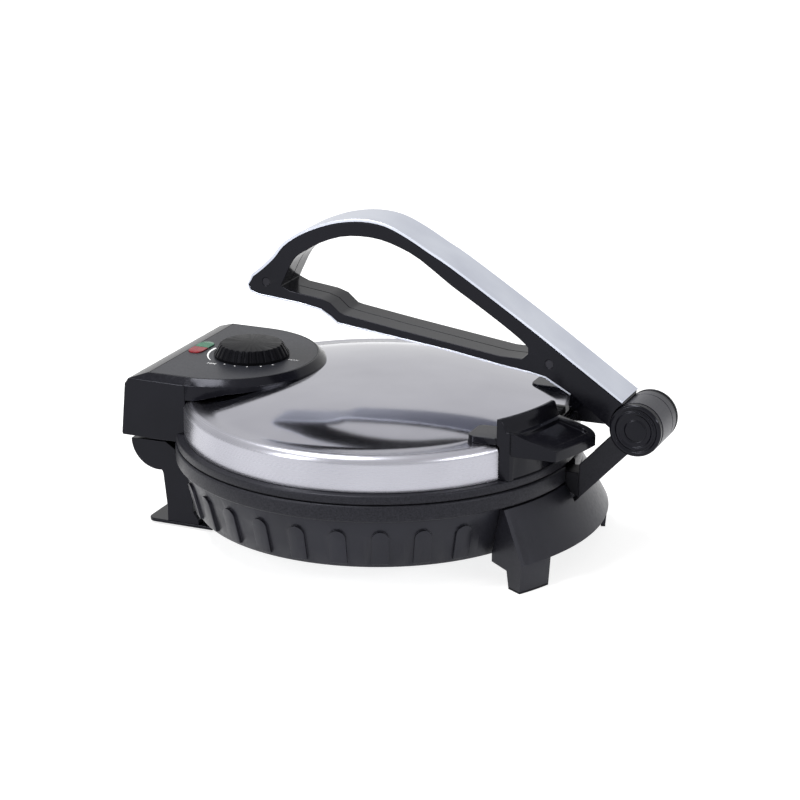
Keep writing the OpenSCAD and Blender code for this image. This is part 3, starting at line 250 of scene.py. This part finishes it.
def printed_ink(name):
    """White pad-printed ink: flat white and a little worn."""
    finish, tree, place = new_finish(name)
    worn = grain(tree, place, size_mm=0.8, detail=3.0)
    shade = add(tree, "ShaderNodeValToRGB", between("dededf", "f2f2f3"), {"Fac": worn})
    rough = add(tree, "ShaderNodeMapRange", over_noise(0.45, 0.6), {"Value": worn})
    shader = add(
        tree,
        "ShaderNodeBsdfPrincipled",
        None,
        {"Base Color": shade.outputs["Color"], "Roughness": rough.outputs["Result"]},
    )
    return close(finish, tree, shader)


FINISH = {
    # Gloss moulded heat-proof plastic: near black, with thin bright lines along the edges.
    "black_gloss": plastic(
        "moulded_black_plastic",
        ("08080c", "0e0e13"),
        rough=(0.15, 0.22),
        wave_mm=2.6,
        depth_mm=0.003,
        shine=0.17,
    ),
    # The base's moulding is a little less glossy, with a soft sheen. Its black is painted a shade lighter
    # than the other black plastic, a painted lightening that stands in for the light falling on the base.
    "satin_black_painted_lighter": plastic(
        "satin_black_plastic_painted_lighter",
        ("101014", "1a1a20"),
        rough=(0.3, 0.4),
        wave_mm=2.6,
        depth_mm=0.004,
        shine=0.3,
    ),
    # Black non-stick spray on cast aluminium: dark, dull and faintly sparkling.
    "coated_metal": coated(
        "sprayed_black_coating",
        ("09090c", "26262b"),
        rough=(0.32, 0.52),
        grain_mm=1.0,
        depth_mm=0.06,
        shine=0.2,
    ),
    # Baked non-stick coating of the cooking plates: an even dark grey with little shine.
    "coated_plate": coated(
        "baked_non_stick_coating",
        ("1c1c1f", "2a2a2d"),
        rough=(0.4, 0.6),
        grain_mm=0.9,
        depth_mm=0.03,
        shine=0.3,
    ),
    # Moulded rubber: flat black with no shine.
    "rubber": plastic(
        "moulded_black_rubber",
        ("0e0e10", "161618"),
        rough=(0.6, 0.75),
        wave_mm=0.9,
        depth_mm=0.03,
        shine=0.2,
    ),
    # Zinc-plated sheet steel of the hidden covers: dull grey with rolling lines.
    "sheet_steel": sheet_metal(
        "zinc_plated_sheet",
        ("8f9194", "a5a7aa"),
        rough=(0.38, 0.5),
        stretch=(1, 12, 12),
        line_mm=0.8,
        depth_mm=0.003,
    ),
    # Turned and plated steel of pins, studs and ears: light grey with a clear glint.
    "plated_steel": sheet_metal(
        "plated_turned_steel",
        ("a9abaf", "c0c2c6"),
        rough=(0.24, 0.34),
        stretch=(1, 9, 9),
        line_mm=0.6,
        depth_mm=0.002,
    ),
    # Screws with a black oxide finish: dark metal with a dull glint.
    "blackened_steel": sheet_metal(
        "blackened_turned_steel",
        ("2a2a2e", "3a3a3f"),
        rough=(0.34, 0.44),
        stretch=(1, 9, 9),
        line_mm=0.6,
        depth_mm=0.002,
    ),
    # Drawn heater tube, darkened by heat: a dull brownish grey.
    "heater_tube": sheet_metal(
        "heat_darkened_tube",
        ("4a4642", "6a655f"),
        rough=(0.45, 0.6),
        stretch=(1, 1, 8),
        line_mm=0.9,
        depth_mm=0.01,
    ),
    # Fired ceramic: warm white and matt.
    "ceramic": plastic(
        "fired_white_ceramic",
        ("d8d3c6", "e6e2d8"),
        rough=(0.5, 0.65),
        wave_mm=1.2,
        depth_mm=0.02,
        shine=0.4,
    ),
    # Spun and polished stainless cover: mirrors the lever with a soft blur, and its skirt is satin.
    "steel_cover": pressed_cover(
        "polished_stainless_sheet",
        ("a0a0a8", "aaaab2"),
        rough_top=0.1,
        rough_skirt=0.26,
    ),
    # Satin moulding of the control panel: a shade greyer than the black round it.
    "panel_grey": plastic(
        "satin_grey_moulding",
        ("1f2024", "25262b"),
        rough=(0.32, 0.38),
        wave_mm=1.6,
        depth_mm=0.003,
        shine=0.16,
    ),
    # Tinted lamp covers: deep red and deep green with a small soft highlight.
    "red_lens": lens_plastic("red_lamp_lens", ("641820", "85262d")),
    "green_lens": lens_plastic("green_lamp_lens", ("17503a", "25694c")),
    # Moulded knob: black and nearly without shine, so that its flutes show as dark lines.
    "knob_black": plastic(
        "moulded_black_knob",
        ("08080a", "0e0e11"),
        rough=(0.3, 0.38),
        wave_mm=1.8,
        depth_mm=0.005,
        shine=0.05,
    ),
    # Lacquered steel of the link: black with a slightly broken sheen.
    "coated_steel": coated(
        "sprayed_black_steel",
        ("0a0a0c", "141417"),
        rough=(0.28, 0.48),
        grain_mm=1.3,
        depth_mm=0.015,
        shine=0.25,
    ),
    # Satin silver trim of the lever: bright, with a soft sheen along its length.
    "silver_trim": sheet_metal(
        "satin_silver_trim",
        ("b8bcc8", "c6cad4"),
        rough=(0.28, 0.35),
        stretch=(1, 10, 10),
        line_mm=0.9,
        depth_mm=0.0012,
    ),
    # Satin moulding of the barrel's sleeve: dark grey, a shade lighter than the lever.
    "barrel_grey": plastic(
        "satin_grey_sleeve",
        ("1e1e22", "28282d"),
        rough=(0.32, 0.4),
        wave_mm=1.2,
        depth_mm=0.008,
        shine=0.35,
    ),
}

# Pieces that share a slot of the record with others and have a finish of their own here.
OWN_FINISH = {
    # The base and apron take the copy of the black plastic that is painted lighter to stand in for the
    # light falling on them.
    "base_shell": "satin_black_painted_lighter",
    "front_apron": "satin_black_painted_lighter",
    "lever_screws": "blackened_steel",
    "cover_screws": "blackened_steel",
}


def finish_of(name):
    """The finish that a CAD node has in view."""
    return FINISH[OWN_FINISH.get(name, SLOT[name])]


# How far the edges of each visible piece are rounded, in mm.
ROUNDED = {
    "base_shell": 0.25,
    "base_rim": 0.4,
    "front_apron": 0.5,
    "rear_housing": 0.4,
    "rear_foot": 0.6,
    "foot_soles": 0.2,
    "bottom_cover": 0.2,
    "lower_plate": 0.3,
    "upper_plate": 0.3,
    "cord_gland": 0.3,
    "lid_rim": 0.4,
    "control_housing": 0.35,
    "control_panel": 0.25,
    "red_lens": 0.3,
    "green_lens": 0.3,
    "hinge_ears": 0.3,
    "front_grip": 0.4,
    "press_pad": 0.4,
    "knob": 0.25,
    "press_link": 0.7,
    "barrel_caps": 0.45,
    "barrel_sleeve": 0.3,
    "lever_left": 0.5,
    "lever_right": 0.5,
    "lever_trim": 0.3,
}
# Their rounding keeps its full width. On all other pieces the shortest edge limits it.
FULL_WIDTH = {
    "base_shell",
    "control_housing",
    "front_grip",
    "lever_left",
    "lever_right",
    "lever_trim",
    "press_link",
    "rear_housing",
}
# Edges sharper than this are rounded and shaded as corners.
CREASE = math.radians(32)


def finished_copy(name, edge_mm):
    """A merged copy of a CAD node with rounded edges, in its own finish, riding on the same body."""
    node = NODES[name]
    mesh = node.data.copy()
    mesh.materials.clear()
    work = bmesh.new()
    work.from_mesh(mesh)
    bmesh.ops.remove_doubles(work, verts=work.verts, dist=0.002 * MM)
    flat = math.radians(0.3)
    bmesh.ops.dissolve_limit(work, angle_limit=flat, verts=work.verts, edges=work.edges)
    work.to_mesh(mesh)
    work.free()
    mesh.shade_smooth()
    mesh.set_sharp_from_angle(angle=CREASE)
    mesh.materials.append(finish_of(name))
    piece = placed(name + "_shown", mesh)
    rounding = piece.modifiers.new("rounded_edges", "BEVEL")
    rounding.width = edge_mm * MM
    rounding.segments = 3
    rounding.limit_method = "ANGLE"
    rounding.angle_limit = CREASE
    rounding.use_clamp_overlap = name not in FULL_WIDTH
    rounding.harden_normals = True
    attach(piece, node["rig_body"])
    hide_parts(name)


for name, edge_mm in ROUNDED.items():
    finished_copy(name, edge_mm)
for name, node in NODES.items():
    if name not in ROUNDED:
        for place in node.material_slots:
            place.material = finish_of(name)


def cover_line():
    """The cover's half section as radius and height: skirt, rounded shoulder and low dome."""
    top_z = cover_high.z
    # A short hem at the foot of the skirt keeps the shading there even.
    hem, shoulder, shoulder_steps = 0.4 * MM, 6 * MM, 10
    line = [(COVER_R, cover_low.z), (COVER_R, cover_low.z + hem)]
    for step in range(shoulder_steps + 1):
        turn = math.radians(90 * step / shoulder_steps)
        out = COVER_R - shoulder + shoulder * math.cos(turn)
        line.append((out, top_z - shoulder + shoulder * math.sin(turn)))
    foot, rise, dome_steps = COVER_R - 12.2 * MM, 10.5 * MM, 30
    for step in range(dome_steps + 1):
        share = 1 - step / dome_steps
        line.append((foot * share, top_z + rise * (1 - share**3)))
    return line


def domed_cover():
    """The steel cover with its low dome: a line turned round the plate axis and cut out for the housing."""
    wall, seat, housing_depth = 1.0 * MM, 0.1 * MM, 48.5 * MM
    work = bmesh.new()
    verts = [work.verts.new((radius, AXIS_Y, height)) for radius, height in cover_line()]
    edges = [work.edges.new(pair) for pair in zip(verts, verts[1:])]
    bmesh.ops.spin(
        work,
        geom=verts + edges,
        cent=(0, AXIS_Y, 0),
        axis=(0, 0, 1),
        angle=math.radians(360),
        steps=180,
        use_merge=True,
    )
    bmesh.ops.remove_doubles(work, verts=work.verts, dist=0.01 * MM)
    front = house_high.y - housing_depth - seat
    side = (house_high.x - house_low.x) / 2 + seat
    for point, way in (
        ((0, front, 0), (0, 1, 0)),
        ((side, 0, 0), (1, 0, 0)),
        ((-side, 0, 0), (1, 0, 0)),
    ):
        everything = work.verts[:] + work.edges[:] + work.faces[:]
        bmesh.ops.bisect_plane(work, geom=everything, plane_co=point, plane_no=way)
    behind = [
        face
        for face in work.faces
        if face.calc_center_median().y > front and abs(face.calc_center_median().x) < side
    ]
    bmesh.ops.delete(work, geom=behind, context="FACES")
    bmesh.ops.recalc_face_normals(work, faces=work.faces)
    highest = max(work.faces, key=lambda face: face.calc_center_median().z)
    if highest.normal.z < 0:
        bmesh.ops.reverse_faces(work, faces=work.faces)
    piece = piece_from(work, "lid_cover_domed", FINISH["steel_cover"])
    piece.data.shade_smooth()
    sheet = piece.modifiers.new("sheet_thickness", "SOLIDIFY")
    sheet.thickness = wall
    sheet.offset = -1
    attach(piece, NODES["lid_cover"]["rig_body"])
    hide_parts("lid_cover")


domed_cover()

INK = printed_ink("white_printed_ink")
# The ink stands this far above the panel and is this thick, so that the two don't flicker.
INK_LIFT = 0.03 * MM
INK_DEPTH = 0.05 * MM


def mark(name, work):
    """A printed mark on the panel from a flat drawing made round the knob's middle at Z = 0."""
    up = bmesh.ops.extrude_face_region(work, geom=work.faces[:])
    raised = [v for v in up["geom"] if isinstance(v, bmesh.types.BMVert)]
    bmesh.ops.translate(work, verts=raised, vec=(0, 0, INK_DEPTH))
    bmesh.ops.recalc_face_normals(work, faces=work.faces)
    bmesh.ops.translate(work, verts=work.verts, vec=(0, KNOB_Y, PANEL_TOP + INK_LIFT))
    piece = piece_from(work, name, INK)
    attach(piece, "lid")


def round_place(radius_mm, degrees):
    """A point on a circle round the knob's middle."""
    turn = math.radians(degrees)
    return Vector((math.cos(turn), math.sin(turn), 0)) * radius_mm * MM


def dot(name, radius_mm, degrees, dot_mm):
    """A round printed dot."""
    work = bmesh.new()
    bmesh.ops.create_circle(work, cap_ends=True, segments=20, radius=dot_mm * MM)
    bmesh.ops.translate(work, verts=work.verts, vec=round_place(radius_mm, degrees))
    mark(name, work)


def wedge(name, radius_mm, start, end, thin_mm, thick_mm):
    """A printed arc that grows from thin to thick round the knob."""
    work = bmesh.new()
    # The line that is turned is 1 mm long at first, and its ends are moved to their width below.
    half_mm = 0.5
    ends = [work.verts.new(round_place(radius_mm + side * half_mm, start)) for side in (-1, 1)]
    edge = work.edges.new(ends)
    bmesh.ops.spin(
        work,
        geom=[edge, *ends],
        cent=(0, 0, 0),
        axis=(0, 0, 1),
        angle=math.radians(end - start),
        steps=28,
    )
    for vert in work.verts:
        turned = math.degrees(math.atan2(vert.co.y, vert.co.x))
        share = (turned - start) / (end - start)
        width = thin_mm + (thick_mm - thin_mm) * share
        side = 1 if vert.co.length > radius_mm * MM else -1
        vert.co = vert.co.normalized() * (radius_mm + side * width / 2) * MM
    mark(name, work)


def word(name, text, height_mm, radius_mm, degrees, turned):
    """A short printed word beside the knob, made of the built-in letters."""
    size_per_height = 1.4
    letters = bpy.data.curves.new(name + "_letters", "FONT")
    letters.body = text
    letters.size = height_mm * MM * size_per_height
    letters.align_x = "CENTER"
    letters.align_y = "CENTER"
    holder = placed(name + "_letters", letters)
    bpy.context.view_layer.update()
    seen = holder.evaluated_get(bpy.context.evaluated_depsgraph_get())
    flat = bpy.data.meshes.new_from_object(seen)
    bpy.data.objects.remove(holder)
    work = bmesh.new()
    work.from_mesh(flat)
    bmesh.ops.remove_doubles(work, verts=work.verts, dist=0.001 * MM)
    bmesh.ops.transform(work, matrix=Matrix.Rotation(math.radians(turned), 4, "Z"), verts=work.verts)
    bmesh.ops.translate(work, verts=work.verts, vec=round_place(radius_mm, degrees))
    mark(name, work)


for count, degrees in enumerate((165, 182, 200, 219, 237)):
    dot(f"dial_dot_{count + 1}", radius_mm=27.8, degrees=degrees, dot_mm=0.55)
wedge("dial_wedge", radius_mm=30, start=138, end=82, thin_mm=0.5, thick_mm=1.9)
word("dial_min", "MIN", height_mm=2.6, radius_mm=33, degrees=151, turned=-90)
word("dial_max", "MAX", height_mm=2.6, radius_mm=31.5, degrees=270, turned=-90)


def shown_as_white(tree):
    """1 where the eye, a mirror-like surface or clear plastic looks, 0 where light is gathered."""
    rays = add(tree, "ShaderNodeLightPath")
    seen = rays.outputs["Is Camera Ray"]
    for kind in ("Is Glossy Ray", "Is Transmission Ray"):
        both = {0: seen, 1: rays.outputs[kind]}
        seen = add(tree, "ShaderNodeMath", {"operation": "ADD", "use_clamp": True}, both).outputs["Value"]
    return seen


WHITE = linear("ffffff")


def studio_world(fill):
    """A white studio: plain fill light on the object, white where it is looked at."""
    world = bpy.data.worlds.new("white_studio")
    bpy.context.scene.world = world
    world.use_nodes = True
    tree = world.node_tree
    tree.nodes.clear()
    reach = {"To Min": fill, "To Max": 1.0}
    strength = add(tree, "ShaderNodeMapRange", reach, {"Value": shown_as_white(tree)})
    glow = add(tree, "ShaderNodeBackground", {"Color": WHITE}, {"Strength": strength.outputs["Result"]})
    add(tree, "ShaderNodeOutputWorld", None, {"Surface": glow.outputs[0]})


def floor(radius, grey, lift):
    """A matt white table top. It looks white, and keeps the soft shadow of the object."""
    finish, tree, place = new_finish("matt_white_table")
    cloud = grain(tree, place, size_mm=400)
    shade = add(tree, "ShaderNodeValToRGB", between("dcdcdc", "dedede"), {"Fac": cloud})
    lit = add(tree, "ShaderNodeBsdfDiffuse", None, {"Color": shade.outputs["Color"]})
    seen_lit = add(tree, "ShaderNodeBsdfDiffuse", {"Color": (grey, grey, grey, 1)})
    glow = add(tree, "ShaderNodeEmission", {"Color": WHITE, "Strength": lift})
    seen = add(tree, "ShaderNodeAddShader", None, {0: seen_lit.outputs[0], 1: glow.outputs[0]})
    both = {0: shown_as_white(tree), 1: lit.outputs[0], 2: seen.outputs[0]}
    close(finish, tree, add(tree, "ShaderNodeMixShader", None, both))
    work = bmesh.new()
    bmesh.ops.create_circle(work, cap_ends=True, segments=96, radius=radius)
    piece = piece_from(work, "table_top", finish)


def softbox(name, place, wide, tall, power):
    """A soft rectangular lamp that shines towards the middle of the object."""
    lamp = bpy.data.lights.new(name, "AREA")
    lamp.shape = "RECTANGLE"
    lamp.size = wide
    lamp.size_y = tall
    lamp.energy = power
    middle = Vector((0.0, 0.0, 0.08))
    holder = placed(name, lamp)
    holder.location = place
    holder.rotation_mode = "QUATERNION"
    holder.rotation_quaternion = (middle - Vector(place)).to_track_quat("-Z", "Y")


studio_world(fill=0.5)
floor(radius=9.0, grey=0.5, lift=0.75)
softbox("top_softbox", (-0.3, 0.5, 1.9), wide=1.2, tall=0.6, power=36)
softbox("left_softbox", (-1.9, 1.0, 1.0), wide=0.4, tall=1.2, power=18)
softbox("front_softbox", (-0.6, -2.1, 0.9), wide=1.0, tall=0.3, power=14)

# The camera stands where the photograph was taken from: the columns are its right, up and back.
camera = bpy.data.cameras.new("photo_camera")
camera.lens = 112.55
camera.sensor_width = 36
camera.clip_start = 0.05
camera.clip_end = 60
stand_place = (-1.4607, -0.62265, 0.6139)
right = Vector((0.3955, -0.9184, 0.0)).normalized()
back = Vector((-0.8725, -0.3757, 0.3123)).normalized()
up = back.cross(right).normalized()
right = up.cross(back).normalized()
turned = Matrix((right, up, back)).transposed().to_4x4()
stand = placed("photo_camera", camera)
stand.matrix_world = Matrix.Translation(stand_place) @ turned
bpy.context.scene.camera = stand
bpy.context.scene.view_settings.view_transform = "Standard"
